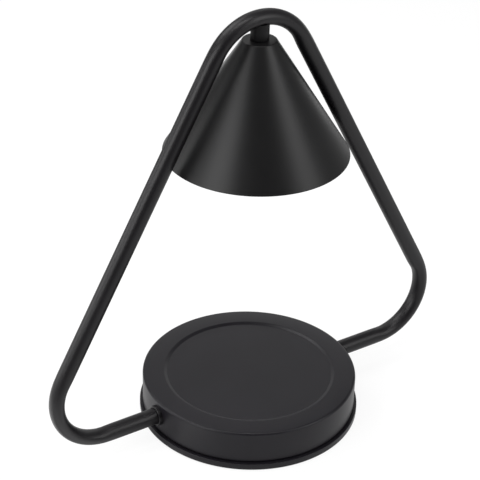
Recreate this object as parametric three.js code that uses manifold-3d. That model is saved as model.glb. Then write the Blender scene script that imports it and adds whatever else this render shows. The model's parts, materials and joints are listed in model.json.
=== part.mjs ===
// Candle warmer lamp: a round pan base, a bent tube frame that stands in one plane through the
// base axis, and a cone shade under its apex with a twist-lock reflector bulb inside.
// Millimetres, +Z up. The origin is the centre of the foot pad's resting face. The frame lies in
// the XZ plane, and the cord outlet is in the back of the base, at +Y.
import * as THREE from 'three';
import { mergeVertices } from 'three/addons/utils/BufferGeometryUtils.js';
import Module from 'manifold-3d';

const wasm = await Module();
wasm.setup();

// Clearances shared by all pieces
const seatGap = 0.3; // between two pieces that seat on each other
const overrun = 1; // how far a cutting solid runs past what it cuts

// Bent tube frame, on its centre line
const tube = {
  radius: 5,
  wall: 1.2,
  barHeight: 16.8, // lower bars above the floor
  halfWidth: 162.5, // base axis to the sharp corner
  rise: 291.8, // bars to the sharp apex
  cornerBend: 32.9,
  apexBend: 34.2,
  reachPastNut: 10, // bar length left inside the base beyond its nut
};

// Pan base and its tray
const pan = {
  radius: 69,
  height: 26.7,
  sheet: 1.2,
  edgeRadius: 1.8, // rounded top edge
  rimWidth: 13.4, // flat ring outside the recess
  recessDepth: 1.2,
  recessSlope: 1, // how far the recess wall leans inwards
  recessBend: 0.6,
  skirtTop: 5.9, // height where the wall steps inwards to enter the tray
  skirtInset: 1.1,
  skirtBend: 0.5,
};
const tray = {
  overhang: 2.2, // rolled lip beyond the pan wall
  lipBottom: 0.8,
  lipTop: 4.1,
  lipRound: 1.1,
  sheet: 1.2,
};
const pad = { thickness: 1.2, inset: 9 };
const ballast = { nutClearance: 4, tubeClearance: 0.7, coreRadius: 9, chamfer: 1.5 };

// Screws that hold tray, ballast and pan together
const trayScrewSize = {
  screwRadius: 1.5,
  headRadius: 2.9,
  headHeight: 0.9,
  bossWall: 2.2,
  biteLength: 6,
  edgeDistance: 17,
  padHoleMargin: 1.1,
};
const trayScrewAngles = [30, 150, 270];

// Where the tube enters the pan wall
const collar = { wall: 1.3, proud: 2.6, edgeRadius: 0.6 };
const tubeNut = { wall: 2, length: 5 };

// Cord outlet and terminals
const gland = { bore: 3.2, wall: 1, flange: 2, proud: 1.5, inside: 2, edgeRadius: 0.5, height: 13 };
const terminal = {
  width: 22,
  depth: 13,
  height: 7,
  towerDepth: 7,
  towerHeight: 3.5,
  edgeDistance: 22,
  pitch: 11,
  screwRadius: 1.9,
  screwDepth: 5,
  wireInsert: 3,
  wireHeight: 4,
};

// Neck, shade and what clamps them
const neck = { length: 8.5, wall: 1.3, saddleRise: 2 };
const nipple = { radius: 4, bore: 2.1, spigotRadius: 2.9, spigotReach: 0.4 };
const shade = {
  height: 72.6,
  topRadius: 10,
  rimRadius: 56.9,
  sheet: 1,
  topEdge: 0.9,
};
const washer = { thickness: 1, wallClearance: 1.6 };
const shadeNut = { wall: 2.5, height: 4 };
const bracket = { thickness: 2, width: 13, wallClearance: 1.4 };

// Twist-lock lampholder
const holder = {
  radius: 12.2,
  height: 17,
  edgeRadius: 0.8,
  floor: 3, // the slotted wall that the pins hang on
  pocketHeight: 7,
  wireWell: 4.4,
  screwEdge: 3.8, // fixing screws in from the outside
  screwRadius: 1.5,
  screwHead: 2.5,
  screwHeadHeight: 2,
  screwBite: 1.4,
  pinPlay: 0.35,
};
const contact = { thickness: 0.6, innerRadius: 2, riser: 1.2, height: 0.9 };
const wire = { radius: 0.8, tubeOffset: 2.6, nippleOffset: 1, turnLength: 4.5 };

// Reflector bulb
const bulb = {
  length: 45,
  pinCircle: 5, // radius on which the two pins stand
  pinRadius: 1.5,
  headRadius: 2.5,
  headHeight: 2.2,
  pinSocket: 4,
  capRadius: 9.6,
  capHeight: 7.5,
  collarRadius: 11.4,
  collarHeight: 7.5,
  edgeRadius: 0.8,
  rimRadius: 25.2,
  rimHeight: 3.6,
  glass: 1.3,
  lensThickness: 1.6,
  lensInset: 0.4,
  capsuleRadius: 4.2,
  capsuleLength: 25,
};
const pinAngle = 90; // degrees about +Z, the first pin in its locked place
const twistTravel = 30; // degrees between locked and free
const pocketMargin = 35; // degrees of pocket beyond each end of the pin's travel
const contactMargin = 24; // degrees of contact beyond each end of the pin's travel

// Facet counts
const roundSides = 52;
const bulbSides = 28;
const smallSides = 18;
const tinySides = 10;
const tubeSides = 16;
const boreSides = 10;
const wireSides = 6;
const bendSteps = 12;
const edgeSteps = 2;
const sectorSteps = 4;

const degree = Math.PI / 180;

// Outlines and solids

// Outline from corners [x, y, radius]: each corner with a radius becomes an arc.
function outline(corners, steps = edgeSteps) {
  const count = corners.length;
  return corners.flatMap(([x, y, radius], index) => {
    const here = new THREE.Vector2(x, y);
    if (!radius) return [here];
    const [backX, backY] = corners[(index + count - 1) % count];
    const [nextX, nextY] = corners[(index + 1) % count];
    const back = new THREE.Vector2(backX, backY).sub(here).normalize();
    const next = new THREE.Vector2(nextX, nextY).sub(here).normalize();
    const half = Math.acos(back.dot(next)) / 2;
    const centre = back.clone().add(next).setLength(radius / Math.sin(half)).add(here);
    const start = back.clone().multiplyScalar(radius / Math.tan(half)).add(here);
    const turn = Math.sign(next.cross(back)) * (Math.PI - 2 * half);
    return Array.from({ length: steps + 1 }, (_, step) =>
      start.clone().rotateAround(centre, (turn * step) / steps));
  });
}

// Solid turned about Z. The outline runs anticlockwise in (radius, height).
function turned(points, sides) {
  const last = points[points.length - 1];
  const closed = points[0].x > 0 || last.x > 0 ? [...points, points[0].clone()] : points;
  return new THREE.LatheGeometry(closed, sides).rotateX(Math.PI / 2);
}

// Plain disc or cylinder between two heights, standing at (x, y)
function drum(radius, bottom, top, sides = smallSides, x = 0, y = 0) {
  const points = outline([[0, bottom], [radius, bottom], [radius, top], [0, top]]);
  return turned(points, sides).translate(x, y, 0);
}

function ring(inner, outer, bottom, top, sides = smallSides) {
  return turned(outline([[inner, bottom], [outer, bottom], [outer, top], [inner, top]]), sides);
}

// Flat plate cut from a shape in XY, with its underside at the given height
function plate(shape, bottom, thickness, curveSegments = edgeSteps) {
  const options = { depth: thickness, bevelEnabled: false, curveSegments };
  return new THREE.ExtrudeGeometry(shape, options).translate(0, 0, bottom);
}

function circlePoints(radius, sides) {
  return Array.from({ length: sides }, (_, index) => {
    const angle = (2 * Math.PI * index) / sides;
    return new THREE.Vector2(radius * Math.cos(angle), radius * Math.sin(angle));
  });
}

function hexNut(across, bore, bottom, height) {
  const shape = new THREE.Shape(circlePoints(across / 2 / Math.cos(Math.PI / 6), 6));
  shape.holes.push(new THREE.Path(circlePoints(bore, smallSides)));
  return plate(shape, bottom, height);
}

// Sector of a flat ring, in degrees about +Z
function sector(inner, outer, from, to) {
  const shape = new THREE.Shape();
  shape.absarc(0, 0, outer, from * degree, to * degree, false);
  shape.absarc(0, 0, inner, to * degree, from * degree, true);
  return shape;
}

function solid(geometry) {
  const bare = geometry.clone();
  bare.deleteAttribute('normal');
  bare.deleteAttribute('uv');
  const merged = mergeVertices(bare);
  const vertProperties = new Float32Array(merged.attributes.position.array);
  const triVerts = new Uint32Array(merged.index.array);
  return new wasm.Manifold(new wasm.Mesh({ numProp: 3, vertProperties, triVerts }));
}

function geometryOf(manifold) {
  const mesh = manifold.getMesh();
  const geometry = new THREE.BufferGeometry();
  geometry.setAttribute('position', new THREE.BufferAttribute(mesh.vertProperties, 3));
  geometry.setIndex(new THREE.BufferAttribute(mesh.triVerts, 1));
  return geometry;
}

function cut(body, ...tools) {
  return geometryOf(tools.reduce((rest, tool) => rest.subtract(solid(tool)), solid(body)));
}

function joined(...parts) {
  return geometryOf(parts.map(solid).reduce((sum, part) => sum.add(part)));
}

// Sweeps

// A path given by its own stations, so that straight runs take one step and bends take many
class StationPath extends THREE.Curve {
  constructor(stations) {
    super();
    this.stations = stations;
    this.steps = stations.length - 1;
  }

  station(share) {
    return this.stations[Math.round(share * this.steps)];
  }

  getPointAt(share, target = new THREE.Vector3()) {
    return target.copy(this.station(share).point);
  }

  getTangentAt(share, target = new THREE.Vector3()) {
    return target.copy(this.station(share).heading);
  }
}

function station(point, heading) {
  return { point, heading: heading.clone().normalize() };
}

// Stations of a round bend at a sharp corner between two other corners
function bendStations(before, corner, after, radius) {
  const arrive = corner.clone().sub(before).normalize();
  const leave = after.clone().sub(corner).normalize();
  const turn = arrive.angleTo(leave);
  const axis = arrive.clone().cross(leave).normalize();
  const start = corner.clone().addScaledVector(arrive, -radius * Math.tan(turn / 2));
  const centre = axis.clone().cross(arrive).multiplyScalar(radius).add(start);
  return Array.from({ length: bendSteps + 1 }, (_, step) => {
    const angle = (turn * step) / bendSteps;
    const spoke = start.clone().sub(centre).applyAxisAngle(axis, angle);
    return station(spoke.add(centre), arrive.clone().applyAxisAngle(axis, angle));
  });
}

function curveStations(curve, steps) {
  return Array.from({ length: steps + 1 }, (_, step) =>
    station(curve.getPoint(step / steps), curve.getTangent(step / steps)));
}

function swept(stations, sectionPoints, holePoints) {
  const shape = new THREE.Shape(sectionPoints);
  if (holePoints) shape.holes.push(new THREE.Path(holePoints));
  const path = new StationPath(stations);
  const options = { steps: path.steps, extrudePath: path, bevelEnabled: false };
  return new THREE.ExtrudeGeometry(shape, options);
}

// Places worked out from the sizes

const trayFloorBottom = pad.thickness + seatGap;
const trayFloorTop = trayFloorBottom + tray.sheet;
const panBottom = trayFloorTop + seatGap;
const panInside = pan.radius - pan.sheet;
const panRingUnderside = pan.height - pan.sheet;
const recessFloor = pan.height - pan.recessDepth;
const skirtRadius = pan.radius - pan.skirtInset;

const nutHalf = (tube.radius + tubeNut.wall) / Math.cos(Math.PI / 6);
const nutOuterFace = Math.sqrt(panInside ** 2 - nutHalf ** 2) - seatGap;
const nutInnerFace = nutOuterFace - tubeNut.length;
const barEnd = nutInnerFace - tube.reachPastNut;
const ballastRadius = nutInnerFace - ballast.nutClearance;
const ballastTop = tube.barHeight - tube.radius - ballast.tubeClearance;
const screwCircle = ballastRadius - trayScrewSize.edgeDistance;
const bossBottom = ballastTop + seatGap;

const leftCorner = new THREE.Vector3(-tube.halfWidth, 0, tube.barHeight);
const rightCorner = new THREE.Vector3(tube.halfWidth, 0, tube.barHeight);
const sharpApex = new THREE.Vector3(0, 0, tube.barHeight + tube.rise);
const legLean = Math.atan2(tube.halfWidth, tube.rise); // of each leg from the vertical
const apexHeight = sharpApex.z - tube.apexBend * (1 / Math.sin(legLean) - 1);
const tubeInside = tube.radius - tube.wall;

const shadeTop = apexHeight - tube.radius - neck.length;
const shadeRim = shadeTop - shade.height;
const shadeSlope = (shade.rimRadius - shade.topRadius) / shade.height;
const shadeWallAcross = shade.sheet * Math.hypot(1, shadeSlope); // the wall measured level
const shadeInside = (height) =>
  shade.topRadius + shadeSlope * (shadeTop - height) - shadeWallAcross;

const washerTop = shadeTop - shade.sheet - seatGap;
const washerBottom = washerTop - washer.thickness;
const shadeNutTop = washerBottom - seatGap;
const shadeNutBottom = shadeNutTop - shadeNut.height;
const bracketTop = shadeNutBottom - seatGap;
const bracketBottom = bracketTop - bracket.thickness;
const holderTop = bracketBottom - seatGap;
const holderFace = holderTop - holder.height;
const pocketFloor = holderFace + holder.floor;
const pocketCeiling = pocketFloor + holder.pocketHeight;
const holderScrewCircle = holder.radius - holder.screwEdge;
const holderScrewAngle = pinAngle - twistTravel / 2 - 90; // midway between the pin pockets
const pinHeadBottom = pocketFloor + seatGap;
const pinHeadTop = pinHeadBottom + bulb.headHeight;
const contactBottom = pinHeadTop + contact.height;
const contactTop = contactBottom + contact.thickness;

const bulbTop = holderFace - seatGap;
const bulbFace = bulbTop - bulb.length;
const capBottom = bulbTop - bulb.capHeight;
const bulbCollarBottom = capBottom - bulb.collarHeight;
const reflectorTop = bulbCollarBottom - seatGap;
const reflectorRimTop = bulbFace + bulb.rimHeight;

// Base

function baseCover() {
  const recessRadius = pan.radius - pan.rimWidth;
  const recessTopEdge = recessRadius + pan.recessSlope / 2;
  const recessFoot = recessRadius - pan.recessSlope / 2;
  const shell = turned(outline([
    [0, recessFloor - pan.sheet],
    [recessFoot + pan.sheet, recessFloor - pan.sheet],
    [recessTopEdge + pan.sheet, panRingUnderside],
    [panInside, panRingUnderside],
    [panInside, pan.skirtTop],
    [skirtRadius - pan.sheet, pan.skirtTop - pan.skirtInset],
    [skirtRadius - pan.sheet, panBottom],
    [skirtRadius, panBottom],
    [skirtRadius, pan.skirtTop],
    [pan.radius, pan.skirtTop, pan.skirtBend],
    [pan.radius, pan.height, pan.edgeRadius],
    [recessTopEdge, pan.height, pan.recessBend],
    [recessFoot, recessFloor, pan.recessBend],
    [0, recessFloor],
  ]), roundSides);
  const bossRadius = trayScrewSize.screwRadius + seatGap + trayScrewSize.bossWall;
  const bossTop = recessFloor - pan.sheet / 2;
  const holeTop = bossBottom + trayScrewSize.biteLength + overrun;
  const bosses = trayScrewPlaces().map(([x, y]) =>
    drum(bossRadius, bossBottom, bossTop, tinySides, x, y));
  const screwHoles = trayScrewPlaces().map(([x, y]) =>
    drum(trayScrewSize.screwRadius + seatGap, bossBottom - overrun, holeTop, tinySides, x, y));
  const tubeHoles = [-1, 1].map((side) => sideways(
    drum(tube.radius + seatGap, panInside - pan.edgeRadius - overrun, pan.radius + overrun), side));
  const cordHole = backwards(
    drum(gland.bore + gland.wall + seatGap, panInside - overrun, pan.radius + overrun));
  return cut(joined(shell, ...bosses), ...screwHoles, ...tubeHoles, cordHole);
}

function trayScrewPlaces() {
  return trayScrewAngles.map((angle) =>
    [screwCircle * Math.cos(angle * degree), screwCircle * Math.sin(angle * degree)]);
}

// Turn a solid that stands on Z so that it points outwards along the lower bar on one side
function sideways(geometry, side) {
  return geometry.rotateY((side * Math.PI) / 2).translate(0, 0, tube.barHeight);
}

// Turn a solid that stands on Z so that it points out of the back of the base
function backwards(geometry) {
  return geometry.rotateX(-Math.PI / 2).translate(0, 0, gland.height);
}

function baseTray() {
  const lipRadius = pan.radius + tray.overhang;
  const lipInside = skirtRadius + seatGap;
  const floorEdge = lipInside - tray.sheet;
  const dish = turned(outline([
    [0, trayFloorBottom],
    [floorEdge, trayFloorBottom],
    [floorEdge, tray.lipBottom],
    [lipRadius, tray.lipBottom, tray.lipRound],
    [lipRadius, tray.lipTop, tray.lipRound],
    [lipInside, tray.lipTop],
    [lipInside, trayFloorTop],
    [0, trayFloorTop],
  ]), roundSides);
  const holes = trayScrewPlaces().map(([x, y]) => drum(trayScrewSize.screwRadius + seatGap,
    trayFloorBottom - overrun, trayFloorTop + overrun, tinySides, x, y));
  return cut(dish, ...holes);
}

function footPad() {
  const disc = drum(pan.radius - pad.inset, 0, pad.thickness, roundSides);
  const holeRadius = trayScrewSize.headRadius + trayScrewSize.padHoleMargin;
  const holes = trayScrewPlaces().map(([x, y]) =>
    drum(holeRadius, -overrun, pad.thickness + overrun, smallSides, x, y));
  return cut(disc, ...holes);
}

function ballastWeight() {
  const disc = turned(outline([
    [ballast.coreRadius, panBottom],
    [ballastRadius, panBottom],
    [ballastRadius, ballastTop - ballast.chamfer],
    [ballastRadius - ballast.chamfer, ballastTop],
    [ballast.coreRadius, ballastTop],
  ]), roundSides);
  const holes = trayScrewPlaces().map(([x, y]) => drum(trayScrewSize.screwRadius + seatGap,
    panBottom - overrun, ballastTop + overrun, tinySides, x, y));
  return cut(disc, ...holes);
}

function trayScrew([x, y]) {
  const headTop = trayFloorBottom - seatGap;
  const headBottom = headTop - trayScrewSize.headHeight;
  const tip = bossBottom + trayScrewSize.biteLength;
  const { screwRadius, headRadius, headHeight } = trayScrewSize;
  return turned(outline([
    [0, headBottom],
    [headRadius, headBottom, headHeight / 2],
    [headRadius, headTop],
    [screwRadius, headTop],
    [screwRadius, tip - screwRadius / 2],
    [screwRadius / 2, tip],
    [0, tip],
  ]), tinySides).translate(x, y, 0);
}

function cordGland() {
  const neckRadius = gland.bore + gland.wall;
  const flangeRadius = neckRadius + gland.flange;
  const outerSeat = pan.radius + seatGap;
  const innerSeat = Math.sqrt(panInside ** 2 - flangeRadius ** 2) - seatGap;
  return backwards(turned(outline([
    [gland.bore, innerSeat - gland.inside],
    [flangeRadius, innerSeat - gland.inside],
    [flangeRadius, innerSeat],
    [neckRadius, innerSeat],
    [neckRadius, outerSeat],
    [flangeRadius, outerSeat],
    [flangeRadius, outerSeat + gland.proud, gland.edgeRadius],
    [gland.bore, outerSeat + gland.proud, gland.edgeRadius],
  ]), smallSides));
}

// Terminal block

const terminalFoot = ballastTop + seatGap;
const terminalCentre = ballastRadius - terminal.edgeDistance;
const terminalTop = terminalFoot + terminal.height + terminal.towerHeight;
const terminalPlaces = [-terminal.pitch / 2, terminal.pitch / 2];
const wireStartHeight = terminalFoot + terminal.wireHeight;

function terminalBlock() {
  const shoulder = terminalFoot + terminal.height;
  const profile = outline([
    [-terminal.depth / 2, terminalFoot],
    [terminal.depth / 2, terminalFoot],
    [terminal.depth / 2, shoulder],
    [terminal.towerDepth / 2, shoulder],
    [terminal.towerDepth / 2, terminalTop],
    [-terminal.towerDepth / 2, terminalTop],
    [-terminal.towerDepth / 2, shoulder],
    [-terminal.depth / 2, shoulder],
  ]);
  const block = plate(new THREE.Shape(profile), -terminal.width / 2, terminal.width)
    .rotateX(Math.PI / 2)
    .rotateZ(Math.PI / 2)
    .translate(0, terminalCentre, 0);
  const wells = terminalPlaces.map((x) => drum(terminal.screwRadius + seatGap,
    terminalTop - terminal.screwDepth - seatGap, terminalTop + overrun, tinySides, x, terminalCentre));
  const wireHoles = terminalPlaces.map((x) =>
    drum(wire.radius + seatGap, -overrun, terminal.wireInsert + seatGap, tinySides)
      .rotateX(-Math.PI / 2)
      .translate(x, terminalCentre - terminal.depth / 2, wireStartHeight));
  return cut(block, ...wells, ...wireHoles);
}

function terminalScrew(x) {
  return drum(terminal.screwRadius, terminalTop - terminal.screwDepth,
    terminalTop - seatGap, tinySides, x, terminalCentre);
}

// Frame

// Stations of the frame's centre line, moved sideways out of its plane by an offset
function frameStations(offset = 0) {
  const shift = new THREE.Vector3(0, offset, 0);
  const along = new THREE.Vector3(1, 0, 0);
  const start = new THREE.Vector3(-barEnd, 0, tube.barHeight);
  const end = new THREE.Vector3(barEnd, 0, tube.barHeight);
  const stations = [
    station(start, along.clone().negate()),
    ...bendStations(start, leftCorner, sharpApex, tube.cornerBend),
    ...bendStations(leftCorner, sharpApex, rightCorner, tube.apexBend),
    ...bendStations(sharpApex, rightCorner, end, tube.cornerBend),
    station(end, along.clone().negate()),
  ];
  stations.forEach(({ point }) => point.add(shift));
  return stations;
}

function frameTube() {
  const blank = swept(frameStations(), circlePoints(tube.radius, tubeSides),
    circlePoints(tubeInside, boreSides));
  const nippleHole = drum(nipple.spigotRadius + seatGap, apexHeight - tube.radius - overrun,
    apexHeight, smallSides);
  return cut(blank, nippleHole);
}

function entryCollar(side) {
  const bore = tube.radius + seatGap;
  const outer = bore + collar.wall;
  const bush = turned(outline([
    [bore, panInside],
    [outer, panInside],
    [outer, pan.radius + collar.proud, collar.edgeRadius],
    [bore, pan.radius + collar.proud],
  ]), smallSides);
  const wallFace = drum(pan.radius + seatGap, 0, pan.height, 2 * roundSides);
  return cut(sideways(bush, side), wallFace);
}

function barNut(side) {
  return sideways(hexNut(2 * (tube.radius + tubeNut.wall), tube.radius + seatGap,
    nutInnerFace, tubeNut.length), side);
}

// Neck

const spigotShoulder = apexHeight - tube.radius - 2 * seatGap;
const nippleBottom = bracketBottom;

function neckSleeve() {
  const bore = nipple.radius + seatGap;
  const outer = bore + neck.wall;
  const sleeve = ring(bore, outer, shadeTop + seatGap,
    apexHeight - tube.radius + neck.saddleRise, bulbSides);
  const saddle = swept(frameStations(), circlePoints(tube.radius + seatGap, tubeSides));
  return cut(sleeve, saddle);
}

function threadedNipple() {
  const { radius, bore, spigotRadius, spigotReach } = nipple;
  const top = apexHeight - tubeInside + spigotReach;
  return turned(outline([
    [bore, nippleBottom],
    [radius, nippleBottom],
    [radius, spigotShoulder],
    [spigotRadius, spigotShoulder],
    [spigotRadius, top],
    [bore, top],
  ]), smallSides);
}

// Shade

function coneShade() {
  const hole = nipple.radius + seatGap;
  const underside = shadeTop - shade.sheet;
  return turned(outline([
    [hole, underside],
    [shadeInside(underside), underside],
    [shadeInside(shadeRim), shadeRim],
    [shade.rimRadius, shadeRim],
    [shade.topRadius, shadeTop, shade.topEdge],
    [hole, shadeTop],
  ]), roundSides);
}

function holderBracket() {
  const reach = shadeInside(bracketTop) - bracket.wallClearance;
  const half = bracket.width / 2;
  const strap = outline([
    [-reach, -half, half],
    [reach, -half, half],
    [reach, half, half],
    [-reach, half, half],
  ], 2 * edgeSteps);
  const shape = new THREE.Shape(strap);
  shape.holes.push(new THREE.Path(circlePoints(nipple.radius + seatGap, smallSides)));
  const blank = plate(shape, bracketBottom, bracket.thickness);
  const holes = [-1, 1].map((side) => drum(holder.screwRadius + seatGap,
    bracketBottom - overrun, bracketTop + overrun, tinySides, side * holderScrewCircle));
  return cut(blank, ...holes).rotateZ(holderScrewAngle * degree);
}

// Lampholder

function lampholder() {
  const body = turned(outline([
    [0, holderFace],
    [holder.radius, holderFace, holder.edgeRadius],
    [holder.radius, holderTop, holder.edgeRadius],
    [0, holderTop],
  ]), bulbSides);
  const tools = [drum(holder.wireWell, pocketCeiling - overrun, holderTop + overrun, smallSides)];
  const pocketOuter = bulb.pinCircle + bulb.headRadius + 2 * holder.pinPlay;
  [0, 180].forEach((around) => {
    const locked = pinAngle + around;
    const free = locked - twistTravel;
    const pocket = sector(contact.innerRadius - seatGap, pocketOuter,
      free - pocketMargin, locked + pocketMargin);
    tools.push(plate(pocket, pocketFloor, holder.pocketHeight, sectorSteps));
    const slotHalf = bulb.pinRadius + holder.pinPlay;
    const slot = sector(bulb.pinCircle - slotHalf, bulb.pinCircle + slotHalf, free, locked);
    tools.push(plate(slot, holderFace - overrun, holder.floor + 2 * overrun, sectorSteps));
    [[locked, slotHalf], [free, bulb.headRadius + holder.pinPlay]].forEach(([angle, radius]) => {
      const x = bulb.pinCircle * Math.cos(angle * degree);
      const y = bulb.pinCircle * Math.sin(angle * degree);
      tools.push(drum(radius, holderFace - overrun, pocketFloor + overrun, smallSides, x, y));
    });
  });
  holderScrewPlaces().forEach(([x, y]) => {
    const counterbore = holder.screwHead + seatGap;
    tools.push(drum(holder.screwRadius + seatGap, holderFace - overrun, holderTop + overrun,
      tinySides, x, y));
    tools.push(drum(counterbore, holderFace - overrun, holderFace + holder.screwHeadHeight + 2 * seatGap,
      smallSides, x, y));
  });
  return cut(body, ...tools);
}

function holderScrewPlaces() {
  return [0, 180].map((around) => {
    const angle = (holderScrewAngle + around) * degree;
    return [holderScrewCircle * Math.cos(angle), holderScrewCircle * Math.sin(angle)];
  });
}

function holderScrew([x, y]) {
  const headBottom = holderFace + seatGap;
  const headTop = headBottom + holder.screwHeadHeight;
  return turned(outline([
    [0, headBottom],
    [holder.screwHead, headBottom],
    [holder.screwHead, headTop],
    [holder.screwRadius, headTop],
    [holder.screwRadius, bracketBottom + holder.screwBite],
    [0, bracketBottom + holder.screwBite],
  ]), tinySides).translate(x, y, 0);
}

// Spring contact over one pin head, with a riser to the pocket's ceiling at its far end
function contactStrip(around) {
  const locked = pinAngle + around;
  const outer = bulb.pinCircle + bulb.headRadius;
  const from = locked - twistTravel - contactMargin;
  const to = locked + contactMargin;
  const leaf = plate(sector(contact.innerRadius, outer, from, to), contactBottom,
    contact.thickness, sectorSteps);
  const riserSpan = contact.riser / outer / degree;
  const riser = plate(sector(contact.innerRadius + holder.wireWell / 2, outer, from, from + riserSpan),
    contactBottom, pocketCeiling - seatGap - contactBottom, edgeSteps);
  return joined(leaf, riser);
}

// Bulb

function bulbPins() {
  return [0, 180].map((around) => {
    const angle = (pinAngle + around) * degree;
    return [bulb.pinCircle * Math.cos(angle), bulb.pinCircle * Math.sin(angle)];
  });
}

function bulbBase() {
  const body = turned(outline([
    [0, bulbCollarBottom],
    [bulb.collarRadius, bulbCollarBottom],
    [bulb.collarRadius, capBottom, bulb.edgeRadius],
    [bulb.capRadius, capBottom + bulb.collarRadius - bulb.capRadius],
    [bulb.capRadius, bulbTop, bulb.edgeRadius],
    [0, bulbTop],
  ]), bulbSides);
  const socket = drum(bulb.capsuleRadius + seatGap, bulbCollarBottom - overrun, capBottom + seatGap);
  const pinHoles = bulbPins().map(([x, y]) => drum(bulb.pinRadius + seatGap,
    bulbTop - bulb.pinSocket, bulbTop + overrun, tinySides, x, y));
  return cut(body, socket, ...pinHoles);
}

function bulbPin([x, y]) {
  const bottom = bulbTop - bulb.pinSocket + seatGap;
  return turned(outline([
    [0, bottom],
    [bulb.pinRadius, bottom],
    [bulb.pinRadius, pinHeadBottom],
    [bulb.headRadius, pinHeadBottom],
    [bulb.headRadius, pinHeadTop],
    [0, pinHeadTop],
  ]), tinySides).translate(x, y, 0);
}

// Paraboloid: the square of the radius grows evenly from the neck to the rim.
function reflectorRadius(share) {
  const { collarRadius, rimRadius } = bulb;
  return Math.sqrt(collarRadius ** 2 + (rimRadius ** 2 - collarRadius ** 2) * share);
}

function bulbReflector() {
  const hole = bulb.capsuleRadius + seatGap;
  const steps = 2 * edgeSteps + 1;
  const wall = (inset) => Array.from({ length: steps + 1 }, (_, step) => {
    const share = step / steps;
    const height = reflectorTop - inset + (reflectorRimTop - reflectorTop + inset) * share;
    return new THREE.Vector2(reflectorRadius(share) - inset, height);
  });
  const rimInside = bulb.rimRadius - bulb.glass;
  return turned([
    new THREE.Vector2(hole, reflectorTop - bulb.glass),
    ...wall(bulb.glass),
    new THREE.Vector2(rimInside, bulbFace),
    new THREE.Vector2(bulb.rimRadius, bulbFace),
    ...wall(0).reverse(),
    new THREE.Vector2(hole, reflectorTop),
  ], bulbSides);
}

function bulbLens() {
  const radius = bulb.rimRadius - bulb.glass - seatGap;
  const bottom = bulbFace + bulb.lensInset;
  const top = bottom + bulb.lensThickness;
  return turned(outline([
    [0, bottom],
    [radius, bottom, bulb.lensThickness / 3],
    [radius, top],
    [0, top],
  ]), bulbSides);
}

function bulbCapsule() {
  const bottom = capBottom - bulb.capsuleLength;
  return turned(outline([
    [0, bottom],
    [bulb.capsuleRadius, bottom, bulb.capsuleRadius - seatGap],
    [bulb.capsuleRadius, capBottom],
    [0, capBottom],
  ], 2 * edgeSteps), smallSides);
}

// Wires from the terminals through the left leg and the nipple to the contacts
function lampWire(side) {
  const down = new THREE.Vector3(0, 0, -1);
  const offset = side * wire.tubeOffset;
  const terminalX = -side * (terminal.pitch / 2);
  const start = new THREE.Vector3(terminalX, terminalCentre - terminal.depth / 2 + terminal.wireInsert,
    wireStartHeight);
  const clearOfBlock = start.clone().setY(terminalCentre - terminal.depth / 2 - overrun);
  const elbow = new THREE.Vector3(terminalX, offset, (wireStartHeight + tube.barHeight) / 2);
  const mouth = new THREE.Vector3(-barEnd + 2 * tube.radius, offset, tube.barHeight);
  const fromBlock = new THREE.QuadraticBezierCurve3(clearOfBlock, elbow, mouth);

  const inTube = frameStations(offset).filter(({ point }) => point.x < -wire.turnLength - seatGap);
  const leaving = inTube[inTube.length - 1];
  const intoNipple = new THREE.Vector3(0, side * wire.nippleOffset, apexHeight - wire.turnLength);
  const overNipple = new THREE.Vector3(0, side * wire.nippleOffset, apexHeight);
  const turnDown = new THREE.QuadraticBezierCurve3(leaving.point, overNipple, intoNipple);

  const spread = new THREE.Vector3(0, side * (contact.innerRadius + wire.radius), pocketCeiling);
  const belowNipple = intoNipple.clone().setZ(nippleBottom);
  const outwards = new THREE.CubicBezierCurve3(belowNipple,
    belowNipple.clone().lerp(spread, 1 / 2).setY(belowNipple.y),
    belowNipple.clone().lerp(spread, 1 / 2).setY(spread.y), spread);
  const end = spread.clone().setZ(contactTop + seatGap);

  return swept([
    station(start, new THREE.Vector3(0, -1, 0)),
    ...curveStations(fromBlock, edgeSteps * 3),
    ...inTube,
    ...curveStations(turnDown, edgeSteps * 2).slice(1),
    ...curveStations(outwards, edgeSteps),
    station(end, down),
  ], circlePoints(wire.radius, wireSides));
}

// Finishes

const finishes = {
  blackPowderCoat: { color: 0x29292b, roughness: 0.5, metalness: 0.1 },
  blackCollar: { color: 0x2b2b2d, roughness: 0.45, metalness: 0.1 },
  foam: { color: 0x1b1b1c, roughness: 0.95, metalness: 0 },
  castIron: { color: 0x4a4a4d, roughness: 0.7, metalness: 0.8 },
  zincSteel: { color: 0xb4b6b8, roughness: 0.35, metalness: 0.9 },
  blackPlastic: { color: 0x202022, roughness: 0.6, metalness: 0 },
  whitePlastic: { color: 0xd8d6cf, roughness: 0.5, metalness: 0 },
  brass: { color: 0xc9a24a, roughness: 0.3, metalness: 0.9 },
  ceramic: { color: 0xe9e6df, roughness: 0.55, metalness: 0 },
  silveredGlass: { color: 0xc8ccd0, roughness: 0.12, metalness: 0.9 },
  clearGlass: { color: 0xf1f4f5, roughness: 0.05, metalness: 0, transparent: true, opacity: 0.35 },
  redSleeve: { color: 0x7c2420, roughness: 0.6, metalness: 0 },
  blueSleeve: { color: 0x23385e, roughness: 0.6, metalness: 0 },
};

const group = new THREE.Group();

function add(name, geometry, finish, parent = group) {
  const mesh = new THREE.Mesh(geometry, new THREE.MeshStandardMaterial(finishes[finish]));
  mesh.name = name;
  parent.add(mesh);
}

// Assembly

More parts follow.
